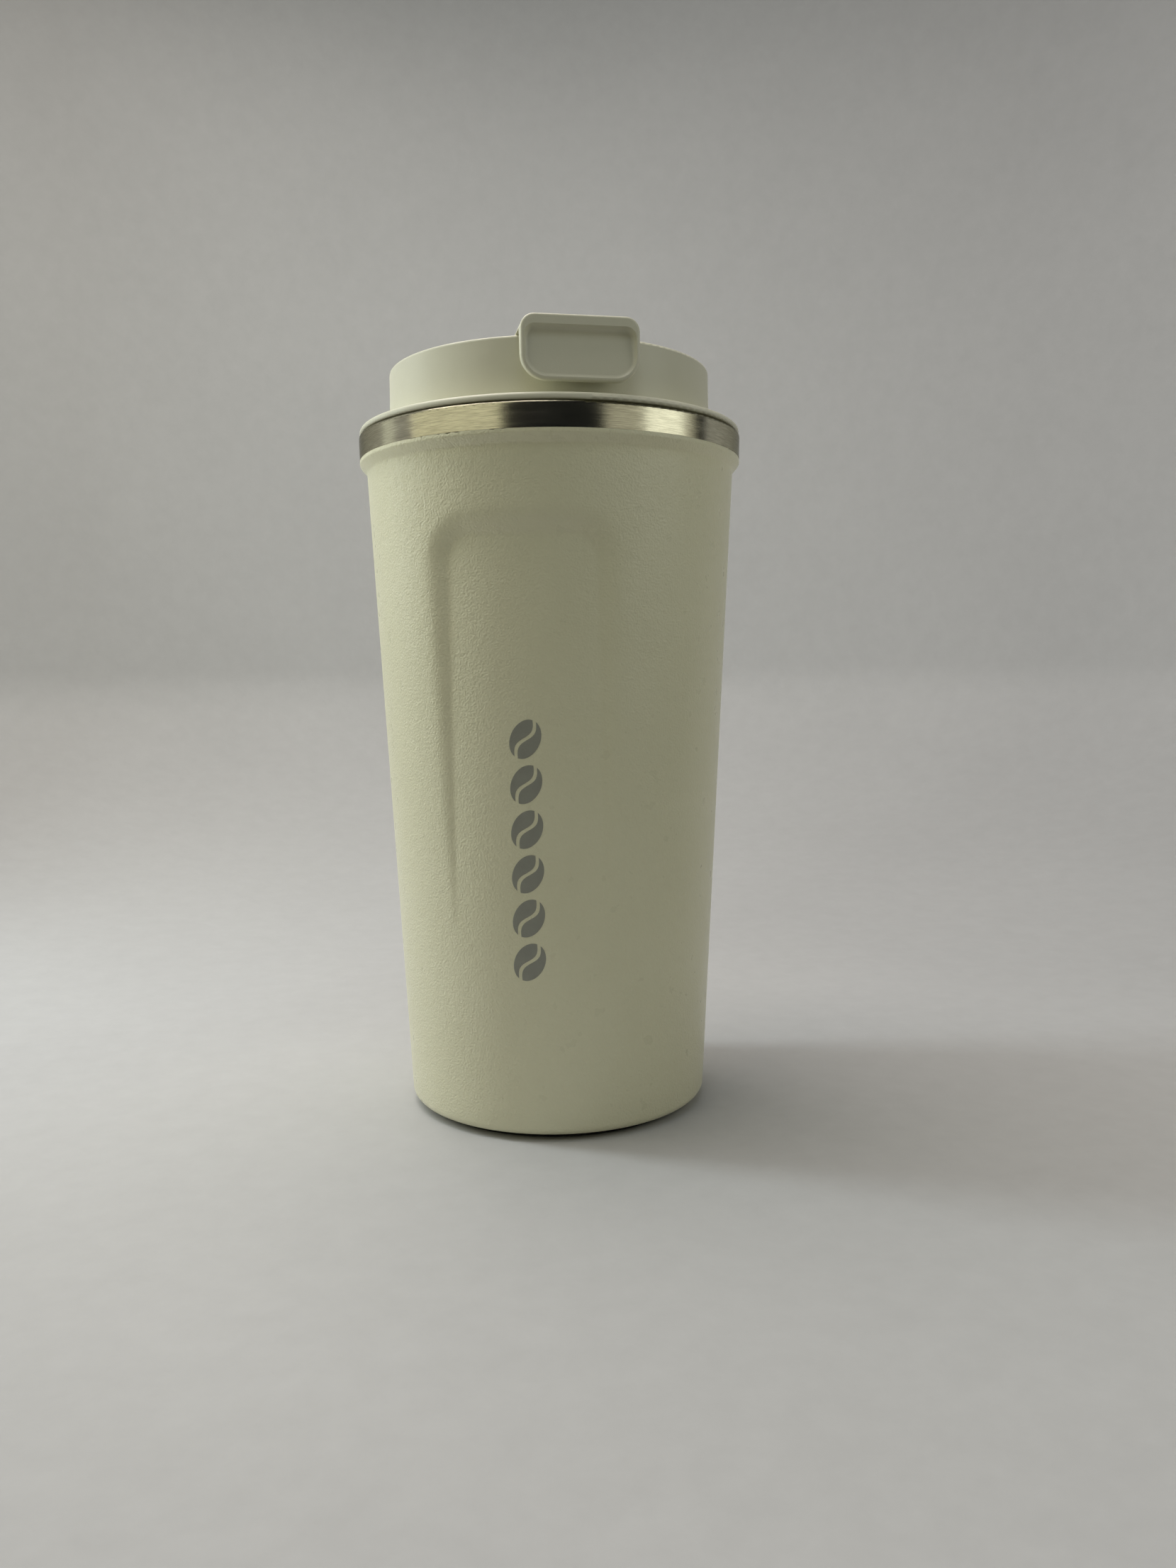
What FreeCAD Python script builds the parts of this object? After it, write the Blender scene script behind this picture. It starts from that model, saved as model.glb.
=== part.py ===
import FreeCAD, Part

# Insulated travel mug: a vacuum-walled steel cup, a screw-in lid and a flip cover over the drinking hole.
#
# Millimetres. +Z is up, the origin is the centre of the face that the mug stands on, and the flip cover's
# thumb tab points along -Y. The lid is modelled screwed fully down with the flip cover closed.

import math
import os

from FreeCAD import Vector

# ---- driving dimensions ----
MUG_HEIGHT = 176.8  # to the top of the flip cover
RIM_RADIUS = 45.0  # outside of the coated lip below the bare collar
CUP_TOP = 159.0
FOOT_HEIGHT = 1.3  # the rubber foot holds the coated shell this far off the table
MARGIN = 1.0  # how far a cutting tool runs past what it cuts

# outer wall
BASE_RADIUS = 35.8  # where the tapered wall would meet the table
WALL_TAPER = 0.0503  # radius gained per millimetre of height
SHELL_WALL = 0.5
SHELL_TOP = 153.6  # top of the coated part
NECK_Z = 150.9  # the tapered wall ends here and flares out to the lip
NECK_FILLET = 1.2
LIP_Z = 152.7
LIP_FILLET = 0.7
BOTTOM_CORNER = 2.2
BOTTOM_OPENING = 32.5

# thumb panels pressed into the outer wall, one on each side
PANEL_AZIMUTH = -18.6  # degrees from the tab, seen from above
PANEL_HALF_WIDTH = 17.4
PANEL_TOP = 132.9
PANEL_FADE = 45.0  # the panel runs out of the tapered wall at this height
PANEL_LEAN = 0.0299  # the floor leans out by this much per millimetre of height
PANEL_SLOPE = 25.0  # degrees between the edge slopes and the wall
PANEL_CORNER = 16.0
PANEL_REACH = 60.0  # how far from the axis the panel's cutting tool reaches
PANEL_START = 20.0  # the cutting tool's lower end, where it has left the wall

# bare collar round the mouth
COLLAR_THICKNESS = 0.8
COLLAR_WALL = 1.0
COLLAR_PROUD = 0.12  # the collar's top edge stands this far outside the coated lip
COLLAR_EDGE = 0.5
SKIRT_WALL = 0.7

# inner wall and vacuum space
LINER_WALL = 0.4
NECK_BORE = 38.9
SEAL_LAND = 37.65  # bore of the plain land that the lid's seal runs in
LAND_TOP = 147.75
LAND_BOTTOM = 145.0
LAND_CONE = 1.25  # height of the cone between the land and the threaded neck
LINER_TOP_BORE = 36.3  # bore at the top of the long taper
LINER_TAPER_TOP = 142.0
LINER_LOW_BORE = 32.0
LINER_LOW_Z = 11.0
LINER_FLOOR = 7.4
LINER_CORNER = 3.0
FOIL_LOW = 16.0
FOIL_HIGH = 131.0
FOIL_GAP = 0.03
FOIL_THICKNESS = 0.12
GETTER_RADIUS = 3.5
GETTER_THICKNESS = 1.2
GETTER_X = 14.0
CLIP_GAUGE = 0.3
CLIP_FOOT = 3.0
CLIP_HALF_WIDTH = 2.0
CLIP_CLEARANCE = 0.05

# base
DISC_Z = 3.9
DISC_WALL = 0.6
DISC_RIM_LOW = 2.7
DISC_RIM_GAP = 0.35
PORT_RADIUS = 1.0
BEAD_LOW = 2.95
BEAD_RADIUS = 2.6
PLATE_UNDERSIDE = FOOT_HEIGHT + SHELL_WALL
PLATE_TOP_SIDE = PLATE_UNDERSIDE + 0.6
PLATE_RADIUS = 33.6
FOOT_OUTSIDE = BOTTOM_OPENING - 0.2
FOOT_INSIDE = 25.0
FOOT_GROOVES = (27.0, 28.7, 30.4)
FOOT_GROOVE_WIDTH = 0.7
FOOT_GROOVE_DEPTH = 0.4

# screw thread between lid and neck
THREAD_STARTS = 3
THREAD_LEAD = 12.0
THREAD_SPAN = 150.0  # degrees that each rib runs round
THREAD_ROOT_WIDTH = 1.6
THREAD_CREST_WIDTH = 1.0
THREAD_ROOT_BITE = 0.3  # the lid's ribs start this far inside the plug
FEMALE_CREST = 37.7
MALE_CREST = 38.5
FEMALE_Z = 150.2
MALE_Z = FEMALE_Z + THREAD_LEAD / THREAD_STARTS / 2

# lid
PLUG_RADIUS = 37.0
PLUG_BOTTOM = 144.8
PLUG_WALL = 1.8
PLUG_FLOOR = 2.2
LID_SEAT = 159.3  # underside of the flange, just clear of the collar
FLANGE_TOP = 160.8
FLANGE_RADIUS = 44.9
DRUM_RADIUS = 37.8
DRUM_TOP = 174.0
DRUM_DRAFT = 0.12
DRUM_EDGE = 0.6
DECK_TOP = 169.0
DECK_THICKNESS = 1.8
DECK_UNDERSIDE = DECK_TOP - DECK_THICKNESS
DISH_RADIUS = 35.4
COVER_BORE = 36.0
SPIGOT_TOP = 165.0
SPOUT_Y = -27.6
SPOUT_LENGTH = 15.2
SPOUT_WIDTH = 7.0
DUCT_WALL = 1.4
DUCT_CLEARANCE = 0.05  # between the duct and the opening in the plug's floor
GASKET_THICKNESS = 0.9
VENT_Y = -9.0
VENT_RADIUS = 1.1
VENT_TUBE_WALL = 1.3

# seal round the plug
SEAL_LOW = 145.6
SEAL_HIGH = 147.6
SEAL_GROOVE = 35.2
SEAL_CLEARANCE = 0.1
SEAL_BEAD = 0.5  # height of the seal's widest part

# flip cover and its hinge
HINGE_Y = 6.0
HINGE_Z = 173.2
PIN_RADIUS = 1.0
PIN_CLEARANCE = 0.05
EAR_THICKNESS = 3.0
EAR_RADIUS = 2.9
EAR_HALF_BASE = 4.2
ARM_WIDTH = 25.0
ARM_UNDERSIDE = 170.6
ARM_TOP_CORNER = 3.0
RIM_GAP = 0.3  # between the flip cover and the lid all round
TAB_FRONT = 42.3
TAB_BOTTOM = 163.5
TAB_CORNER = 5.3
TAB_EDGE = 0.6
TAB_LOW_THICKNESS = 1.4
TAB_HIGH_THICKNESS = 2.6

# finger hollow in the tab's face
SCOOP_RIM = 0.7
SCOOP_LIP = 2.1  # height of the lip above the hollow
SCOOP_LOW_DEPTH = 0.4
SCOOP_HIGH_DEPTH = 1.7
SCOOP_SIDE_RUN = 0.5
SCOOP_TOP_RUN = 0.5
SCOOP_LOW_RUN = 0.5
SCOOP_FILLET = 0.8

# what the flip cover carries
CAVITY_HALF = 10.6
CAVITY_FRONT = -31.5
CAVITY_BACK = 1.5
CAVITY_TOP = 174.7
INNER_GAP = 0.08
INNER_TOP = 172.3
INNER_RIB_X = 7.5
INNER_RIB_HALF = 0.6
INNER_RIB_FRONT = -21.0
INNER_RIB_BACK = -1.0
NECK_LENGTH = 9.0
NECK_WIDTH = 3.4
HEAD_LENGTH = 12.0
HEAD_WIDTH = 5.6
HEAD_HEIGHT = 1.0
PAD_GROW = 1.2
PAD_GAP = 0.15
VENT_NECK = 1.3
VENT_HEAD = 2.0
VENT_PAD = 2.6
VENT_NUB = 0.75

ORIGIN = Vector(0, 0, 0)
UP = Vector(0, 0, 1)
RIGHT = Vector(1, 0, 0)


# ---- helpers ----
def rounded_wire(corners, place):
    """A closed outline. Each corner is (u, v) or (u, v, radius), and place turns (u, v) into a Vector."""
    count = len(corners)
    points = [FreeCAD.Base.Vector2d(c[0], c[1]) for c in corners]
    starts = []
    ends = []
    arcs = []
    for i, corner in enumerate(corners):
        here = points[i]
        radius = corner[2] if len(corner) > 2 else 0
        if not radius:
            starts.append(here)
            ends.append(here)
            arcs.append(None)
            continue
        back = points[i - 1] - here
        ahead = points[(i + 1) % count] - here
        back = back * (1 / back.length())
        ahead = ahead * (1 / ahead.length())
        half_angle = math.acos(max(-1.0, min(1.0, back.x * ahead.x + back.y * ahead.y))) / 2
        reach = radius / math.tan(half_angle)
        bisector = back + ahead
        bisector = bisector * (1 / bisector.length())
        to_arc = radius / math.sin(half_angle) - radius
        starts.append(here + back * reach)
        ends.append(here + ahead * reach)
        arcs.append(here + bisector * to_arc)
    edges = []
    for i in range(count):
        if arcs[i] is not None:
            ends_and_middle = [place(p.x, p.y) for p in (starts[i], arcs[i], ends[i])]
            edges.append(Part.Arc(*ends_and_middle).toShape())
        leave, arrive = ends[i], starts[(i + 1) % count]
        if (arrive - leave).length() > 1e-6:
            edges.append(Part.LineSegment(place(leave.x, leave.y), place(arrive.x, arrive.y)).toShape())
    return Part.Wire(edges)


def turned(corners):
    """A solid of revolution about Z from an outline of (radius, height) corners."""
    wire = rounded_wire(corners, lambda r, z: Vector(r, 0, z))
    return Part.Face(wire).revolve(ORIGIN, UP, 360)


def upright(corners, low, high):
    """A plan outline of (x, y) corners, extruded from one height to another."""
    wire = rounded_wire(corners, lambda x, y: Vector(x, y, low))
    return Part.Face(wire).extrude(UP * (high - low))


def front_view(corners, near, far):
    """A front outline of (x, z) corners, extruded from y = near to y = far."""
    wire = rounded_wire(corners, lambda x, z: Vector(x, near, z))
    return Part.Face(wire).extrude(Vector(0, far - near, 0))


def side_view(corners, left, right):
    """A side outline of (y, z) corners, extruded from x = left to x = right."""
    wire = rounded_wire(corners, lambda y, z: Vector(left, y, z))
    return Part.Face(wire).extrude(Vector(right - left, 0, 0))


def rectangle(u_low, u_high, v_low, v_high, radius=0.0):
    """The corners of a rectangle, all with the same rounding."""
    return [
        (u_low, v_low, radius),
        (u_high, v_low, radius),
        (u_high, v_high, radius),
        (u_low, v_high, radius),
    ]


def rod(radius, start, length, direction=UP):
    return Part.makeCylinder(radius, length, start, direction)


def slot(centre_y, length, width, low, high, grow=0.0):
    """An upright slot with all but round ends, centred on x = 0, grown all round by grow."""
    half_length = length / 2 + grow
    half_width = width / 2 + grow
    rounding = half_width - 0.05
    front = centre_y - half_width
    back = centre_y + half_width
    return upright(rectangle(-half_length, half_length, front, back, rounding), low, high)


def edges_where(shape, test):
    """The edges whose every sampled point passes the test."""
    found = []
    for edge in shape.Edges:
        first, last = edge.ParameterRange
        points = [edge.valueAt(first + (last - first) * i / 4) for i in range(5)]
        if all(test(p) for p in points):
            found.append(edge)
    return found


def wall_radius(z):
    """Outside radius of the tapered wall at a height."""
    return BASE_RADIUS + WALL_TAPER * z


def liner_bore(z):
    """Inside radius of the inner wall's long taper at a height."""
    share = (z - LINER_LOW_Z) / (LINER_TAPER_TOP - LINER_LOW_Z)
    return LINER_LOW_BORE + share * (LINER_TOP_BORE - LINER_LOW_BORE)


# ---- outer wall ----
def panel_section(floor, half_angle):
    """The plan outline that a thumb panel removes at PANEL_FADE: an arc of floor and two sloped sides.

    floor is the radius of the arc, which spans half_angle to each side of -Y.
    """
    side = half_angle + math.radians(90 - PANEL_SLOPE)
    inner = Vector(floor * math.sin(half_angle), -floor * math.cos(half_angle), PANEL_FADE)
    outer = inner + Vector(math.sin(side), -math.cos(side), 0) * (PANEL_REACH - floor)
    path = [
        inner,
        outer,
        Vector(outer.x, -PANEL_REACH, PANEL_FADE),
        Vector(-outer.x, -PANEL_REACH, PANEL_FADE),
        Vector(-outer.x, outer.y, PANEL_FADE),
        Vector(-inner.x, inner.y, PANEL_FADE),
    ]
    outline = [Part.Arc(path[-1], Vector(0, -floor, PANEL_FADE), inner).toShape()]
    for start, end in zip(path, path[1:]):
        outline.append(Part.LineSegment(start, end).toShape())
    return Part.Face(Part.Wire(outline))


def under_panel_top(top_radius, spread):
    """A turned block with a conical top, which gives the panel its top slope."""
    climb = 1 / math.tan(math.radians(PANEL_SLOPE))
    inside = 15.0
    outside = PANEL_REACH * 2 - top_radius
    low = PANEL_START - 10.0
    high = PANEL_TOP + spread
    return turned(
        [
            (top_radius - inside, low),
            (top_radius + outside, low),
            (top_radius + outside, high + outside * climb),
            (top_radius - inside, high - inside * climb),
        ]
    )


def panel_cutter(depth):
    """What a thumb panel removes from the wall: a floor that leans out less than the wall, and sloped edges.

    depth sinks the floor and the slopes further in, for the inside of the wall.
    """
    spread = depth * math.tan(math.radians(PANEL_SLOPE / 2))
    floor = wall_radius(PANEL_FADE) - depth
    half_angle = math.asin(PANEL_HALF_WIDTH / wall_radius(PANEL_FADE)) + spread / floor
    section = panel_section(floor, half_angle)
    rise = Vector(0, -PANEL_LEAN, 1)
    section.translate(rise * (PANEL_START - PANEL_FADE))
    column = section.extrude(rise * (CUP_TOP - PANEL_START))
    top_radius = floor + PANEL_LEAN * (PANEL_TOP - PANEL_FADE)
    cutter = column.common(under_panel_top(top_radius, spread))
    corners = [edge for edge in cutter.Edges if is_panel_corner(edge, math.degrees(half_angle))]
    return cutter.makeFillet(PANEL_CORNER, corners)


def is_panel_corner(edge, half_angle):
    """Whether an edge of the panel cutter is where a side slope meets the top slope."""
    long_enough = 5.0
    slack = 4.0
    ends = [vertex.Point for vertex in edge.Vertexes]
    if len(ends) != 2:
        return False
    rises = abs(ends[1].z - ends[0].z) > long_enough
    beside = all(math.degrees(math.atan2(abs(p.x), -p.y)) > half_angle - slack for p in ends)
    above = min(p.z for p in ends) > PANEL_TOP - long_enough
    leaves = abs(math.hypot(ends[1].x, ends[1].y) - math.hypot(ends[0].x, ends[0].y)) > long_enough
    return rises and beside and above and leaves


def with_panels(wall, depth):
    """The wall with a thumb panel on both sides."""
    cutter = panel_cutter(depth)
    for azimuth in (PANEL_AZIMUTH, PANEL_AZIMUTH + 180):
        turned_cutter = cutter.copy()
        turned_cutter.rotate(ORIGIN, UP, azimuth)
        wall = wall.cut(turned_cutter)
    return wall


def outer_shell():
    """The coated outer wall: tapered, flared to a lip at the top and turned in at the bottom."""
    low = FOOT_HEIGHT
    wall = SHELL_WALL
    outside = turned(
        [
            (0, low),
            (wall_radius(low), low, BOTTOM_CORNER),
            (wall_radius(NECK_Z), NECK_Z, NECK_FILLET),
            (RIM_RADIUS, LIP_Z, LIP_FILLET),
            (RIM_RADIUS, SHELL_TOP),
            (0, SHELL_TOP),
        ]
    )
    inside = turned(
        [
            (0, low + wall),
            (wall_radius(low) - wall, low + wall, BOTTOM_CORNER - wall),
            (wall_radius(NECK_Z) - wall, NECK_Z + wall / 2, NECK_FILLET / 2),
            (RIM_RADIUS - wall, LIP_Z + wall / 2, LIP_FILLET / 2),
            (RIM_RADIUS - wall, SHELL_TOP + MARGIN),
            (0, SHELL_TOP + MARGIN),
        ]
    )
    shell = with_panels(outside, 0).cut(with_panels(inside, wall))
    return shell.cut(rod(BOTTOM_OPENING, ORIGIN, low + wall + MARGIN))


def mouth_collar():
    """The bare steel ring that closes the top of the vacuum space and takes the lid."""
    shell_inside = RIM_RADIUS - SHELL_WALL
    skirt_inside = shell_inside - SKIRT_WALL
    skirt_low = LIP_Z + SHELL_WALL / 2
    neck_outside = NECK_BORE + LINER_WALL
    web = CUP_TOP - COLLAR_THICKNESS
    return turned(
        [
            (neck_outside, web),
            (RIM_RADIUS - COLLAR_WALL, web, 0.4),
            (RIM_RADIUS - COLLAR_WALL, SHELL_TOP),
            (skirt_inside, SHELL_TOP),
            (skirt_inside, skirt_low),
            (shell_inside, skirt_low + 0.3),
            (shell_inside, SHELL_TOP),
            (RIM_RADIUS, SHELL_TOP),
            (RIM_RADIUS + COLLAR_PROUD, CUP_TOP, COLLAR_EDGE),
            (neck_outside, CUP_TOP),
        ]
    )


# ---- screw thread ----
def thread_rib(root, crest, start_z, start_angle, span):
    """One helical rib of trapezoid section, from its root radius to its crest radius."""
    outline = [
        Vector(root, 0, -THREAD_ROOT_WIDTH / 2),
        Vector(crest, 0, -THREAD_CREST_WIDTH / 2),
        Vector(crest, 0, THREAD_CREST_WIDTH / 2),
        Vector(root, 0, THREAD_ROOT_WIDTH / 2),
    ]
    section = Part.makePolygon(outline + outline[:1])
    helix = Part.makeHelix(THREAD_LEAD, THREAD_LEAD * span / 360, (root + crest) / 2)
    rib = helix.makePipeShell([section], True, True)
    rib.rotate(ORIGIN, UP, start_angle)
    rib.translate(UP * start_z)
    return rib


def thread_ribs(root, crest, start_z, span=THREAD_SPAN):
    return [thread_rib(root, crest, start_z, i * 360 / THREAD_STARTS, span) for i in range(THREAD_STARTS)]


# ---- inner wall and vacuum space ----
def inner_liner():
    """The drinking side of the double wall, with the neck's thread ribs."""
    wall = LINER_WALL
    tube = turned(
        [
            (LINER_LOW_BORE, LINER_LOW_Z),
            (LINER_LOW_BORE + wall, LINER_LOW_Z),
            (LINER_TOP_BORE + wall, LINER_TAPER_TOP, 3.0),
            (SEAL_LAND + wall, LAND_BOTTOM, 2.0),
            (SEAL_LAND + wall, LAND_TOP),
            (NECK_BORE + wall, LAND_TOP + LAND_CONE),
            (NECK_BORE + wall, CUP_TOP),
            (NECK_BORE, CUP_TOP, 0.3),
            (NECK_BORE, LAND_TOP + LAND_CONE),
            (SEAL_LAND, LAND_TOP),
            (SEAL_LAND, LAND_BOTTOM, 2.0),
            (LINER_TOP_BORE, LINER_TAPER_TOP, 3.0),
        ]
    )
    return tube.fuse(thread_ribs(NECK_BORE + wall / 2, FEMALE_CREST, FEMALE_Z))


def liner_bottom():
    """The dished disc that closes the inner wall, butt welded to it."""
    wall = LINER_WALL
    return turned(
        [
            (0, LINER_FLOOR),
            (LINER_LOW_BORE + wall, LINER_FLOOR, LINER_CORNER + wall),
            (LINER_LOW_BORE + wall, LINER_LOW_Z),
            (LINER_LOW_BORE, LINER_LOW_Z),
            (LINER_LOW_BORE, LINER_FLOOR + wall, LINER_CORNER),
            (0, LINER_FLOOR + wall),
        ]
    )


def copper_foil_wrap():
    """The foil wound round the inner wall to turn radiant heat back."""
    stand_off = LINER_WALL + FOIL_GAP
    return turned(
        [
            (liner_bore(FOIL_LOW) + stand_off, FOIL_LOW),
            (liner_bore(FOIL_LOW) + stand_off + FOIL_THICKNESS, FOIL_LOW),
            (liner_bore(FOIL_HIGH) + stand_off + FOIL_THICKNESS, FOIL_HIGH),
            (liner_bore(FOIL_HIGH) + stand_off, FOIL_HIGH),
        ]
    )


def getter_pellet():
    """The gas-absorbing pellet that keeps the vacuum."""
    return rod(GETTER_RADIUS, Vector(GETTER_X, 0, LINER_FLOOR - GETTER_THICKNESS), GETTER_THICKNESS)


def getter_clip():
    """The strip that holds the pellet against the inner wall's bottom."""
    inside = GETTER_RADIUS + CLIP_CLEARANCE
    outside = inside + CLIP_GAUGE
    tip = inside + CLIP_FOOT
    foot_low = LINER_FLOOR - CLIP_GAUGE
    under = LINER_FLOOR - GETTER_THICKNESS - CLIP_CLEARANCE
    section = [
        (-tip, LINER_FLOOR),
        (-tip, foot_low),
        (-outside, foot_low),
        (-outside, under - CLIP_GAUGE),
        (outside, under - CLIP_GAUGE),
        (outside, foot_low),
        (tip, foot_low),
        (tip, LINER_FLOOR),
        (inside, LINER_FLOOR),
        (inside, under),
        (-inside, under),
        (-inside, LINER_FLOOR),
    ]
    return side_view(section, GETTER_X - CLIP_HALF_WIDTH, GETTER_X + CLIP_HALF_WIDTH)


def vacuum_base_disc():
    """The disc that closes the outer wall, with the port that the space is pumped out through."""
    at_rim = wall_radius(DISC_Z) - SHELL_WALL - DISC_RIM_GAP
    return turned(
        [
            (PORT_RADIUS, DISC_Z),
            (at_rim - DISC_WALL, DISC_Z, 0.4),
            (at_rim - DISC_WALL, DISC_RIM_LOW),
            (at_rim, DISC_RIM_LOW),
            (at_rim, DISC_Z + DISC_WALL, 0.9),
            (PORT_RADIUS, DISC_Z + DISC_WALL),
        ]
    )


def solder_seal():
    """The glass bead that seals the pumping port."""
    return turned(
        [
            (0, BEAD_LOW),
            (BEAD_RADIUS, BEAD_LOW, 0.5),
            (BEAD_RADIUS, DISC_Z),
            (PORT_RADIUS, DISC_Z),
            (PORT_RADIUS, DISC_Z + DISC_WALL),
            (0, DISC_Z + DISC_WALL),
        ]
    )


def base_plate():
    """The steel plate seen from below, resting on the shell's turned-in edge."""
    return turned(
        [
            (0, PLATE_UNDERSIDE),
            (PLATE_RADIUS, PLATE_UNDERSIDE),
            (PLATE_RADIUS, PLATE_TOP_SIDE, 0.3),
            (0, PLATE_TOP_SIDE),
        ]
    )


def non_slip_foot():
    """The dark rubber ring that the mug stands on, glued to the base plate."""
    ring = turned(
        [
            (FOOT_INSIDE, 0, 0.3),
            (FOOT_OUTSIDE, 0, 0.3),
            (FOOT_OUTSIDE, PLATE_UNDERSIDE),
            (FOOT_INSIDE, PLATE_UNDERSIDE),
        ]
    )
    half = FOOT_GROOVE_WIDTH / 2
    for radius in FOOT_GROOVES:
        ring = ring.cut(turned(rectangle(radius - half, radius + half, -MARGIN, FOOT_GROOVE_DEPTH)))
    return ring


# ---- lid ----
def hinge_ear():
    """One of the two ears that the hinge pin runs through, from x = 0."""
    low = DECK_TOP - 0.5
    high = HINGE_Z + EAR_RADIUS
    return side_view(
        [
            (HINGE_Y - EAR_HALF_BASE, low),
            (HINGE_Y + EAR_HALF_BASE, low),
            (HINGE_Y + EAR_RADIUS, high, EAR_RADIUS * 0.9),
            (HINGE_Y - EAR_RADIUS, high, EAR_RADIUS * 0.9),
        ],
        0,
        EAR_THICKNESS,
    )


def lid_cover():
    """The upper lid moulding: flange, drum, sunken deck with the drinking hole, and the hinge ears."""
    body = turned(
        [
            (COVER_BORE, LID_SEAT),
            (FLANGE_RADIUS, LID_SEAT, 0.5),
            (FLANGE_RADIUS, FLANGE_TOP, 0.9),
            (DRUM_RADIUS, FLANGE_TOP, 0.3),
            (DRUM_RADIUS - DRUM_DRAFT, DRUM_TOP, DRUM_EDGE),
            (DISH_RADIUS + DRUM_DRAFT, DRUM_TOP, DRUM_EDGE),
            (DISH_RADIUS, DECK_TOP, 0.8),
            (0, DECK_TOP),
            (0, DECK_UNDERSIDE),
            (COVER_BORE, DECK_UNDERSIDE, 0.6),
        ]
    )
    ear_x = ARM_WIDTH / 2 + RIM_GAP
    for x in (ear_x, -ear_x - EAR_THICKNESS):
        ear = hinge_ear()
        ear.translate(RIGHT * x)
        body = body.fuse(ear)
    low = DECK_UNDERSIDE - MARGIN
    body = body.cut(hinge_hole(PIN_RADIUS))
    body = body.cut(slot(SPOUT_Y, SPOUT_LENGTH, SPOUT_WIDTH, low, DECK_TOP + MARGIN))
    body = body.cut(rod(VENT_RADIUS, Vector(0, VENT_Y, low), DECK_THICKNESS + 2 * MARGIN))
    return body.removeSplitter()


def hinge_hole(radius):
    """A rod along the hinge axis, wide enough to cross the ears and the flip cover."""
    half = ARM_WIDTH / 2 + EAR_THICKNESS + 2 * MARGIN
    return rod(radius, Vector(-half, HINGE_Y, HINGE_Z), 2 * half, RIGHT)


def lid_base():
    """The lower lid moulding: the threaded plug and its vent tube, with an opening for the drinking duct."""
    wall = PLUG_WALL
    groove_low = SEAL_LOW - SEAL_CLEARANCE
    groove_high = SEAL_HIGH + SEAL_CLEARANCE
    plug = turned(
        [
            (0, PLUG_BOTTOM),
            (PLUG_RADIUS - SEAL_CLEARANCE, PLUG_BOTTOM, 0.4),
            (PLUG_RADIUS - SEAL_CLEARANCE, groove_low),
            (SEAL_GROOVE, groove_low),
            (SEAL_GROOVE, groove_high),
            (PLUG_RADIUS, groove_high),
            (PLUG_RADIUS, LID_SEAT),
            (COVER_BORE, LID_SEAT),
            (COVER_BORE, SPIGOT_TOP, 0.5),
            (COVER_BORE - wall, SPIGOT_TOP, 0.5),
            (COVER_BORE - wall, LID_SEAT - wall, 0.8),
            (PLUG_RADIUS - wall, LID_SEAT - 2 * wall, 0.8),
            (PLUG_RADIUS - wall, groove_high + 3.1, 0.5),
            (SEAL_GROOVE - wall, groove_high + 1.1, 0.5),
            (SEAL_GROOVE - wall, PLUG_BOTTOM + PLUG_FLOOR, 0.5),
            (0, PLUG_BOTTOM + PLUG_FLOOR),
        ]
    )
    plug = plug.fuse(thread_ribs(PLUG_RADIUS - THREAD_ROOT_BITE, MALE_CREST, MALE_Z))
    start = PLUG_BOTTOM + MARGIN
    tube = rod(VENT_RADIUS + VENT_TUBE_WALL, Vector(0, VENT_Y, start), DECK_UNDERSIDE - start)
    body = plug.fuse(tube)
    low = PLUG_BOTTOM - MARGIN
    high = DECK_UNDERSIDE + MARGIN
    body = body.cut(slot(SPOUT_Y, SPOUT_LENGTH, SPOUT_WIDTH, low, high, grow=DUCT_WALL + DUCT_CLEARANCE))
    body = body.cut(rod(VENT_RADIUS, Vector(0, VENT_Y, low), high - low))
    return body.removeSplitter()


def drinking_duct():
    """The oval tube that is set into the plug's floor and carries the drink up to the deck."""
    top = DECK_UNDERSIDE - GASKET_THICKNESS
    tube = slot(SPOUT_Y, SPOUT_LENGTH, SPOUT_WIDTH, PLUG_BOTTOM, top, grow=DUCT_WALL)
    return tube.cut(slot(SPOUT_Y, SPOUT_LENGTH, SPOUT_WIDTH, PLUG_BOTTOM - MARGIN, top + MARGIN))


def duct_gasket():
    """The silicone gasket between the drinking duct and the underside of the deck."""
    low = DECK_UNDERSIDE - GASKET_THICKNESS
    ring = slot(SPOUT_Y, SPOUT_LENGTH, SPOUT_WIDTH, low, DECK_UNDERSIDE, grow=DUCT_WALL)
    return ring.cut(slot(SPOUT_Y, SPOUT_LENGTH, SPOUT_WIDTH, low - MARGIN, DECK_UNDERSIDE + MARGIN))


def main_seal():
    """The silicone ring round the plug that seals against the neck's land."""
    outside = SEAL_LAND - SEAL_CLEARANCE
    inside = SEAL_GROOVE + SEAL_CLEARANCE
    shoulder = PLUG_RADIUS - SEAL_CLEARANCE
    middle = (SEAL_LOW + SEAL_HIGH) / 2
    return turned(
        [
            (inside, SEAL_LOW),
            (shoulder, SEAL_LOW, 0.3),
            (outside, middle - SEAL_BEAD / 2, 0.3),
            (outside, middle + SEAL_BEAD / 2, 0.3),
            (shoulder, SEAL_HIGH, 0.3),
            (inside, SEAL_HIGH),
        ]
    )


def hinge_pin():
    """The steel pin, pressed into the ears, that the flip cover turns on."""
    half = ARM_WIDTH / 2 + RIM_GAP + EAR_THICKNESS
    return rod(PIN_RADIUS, Vector(-half, HINGE_Y, HINGE_Z), 2 * half, RIGHT)


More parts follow.
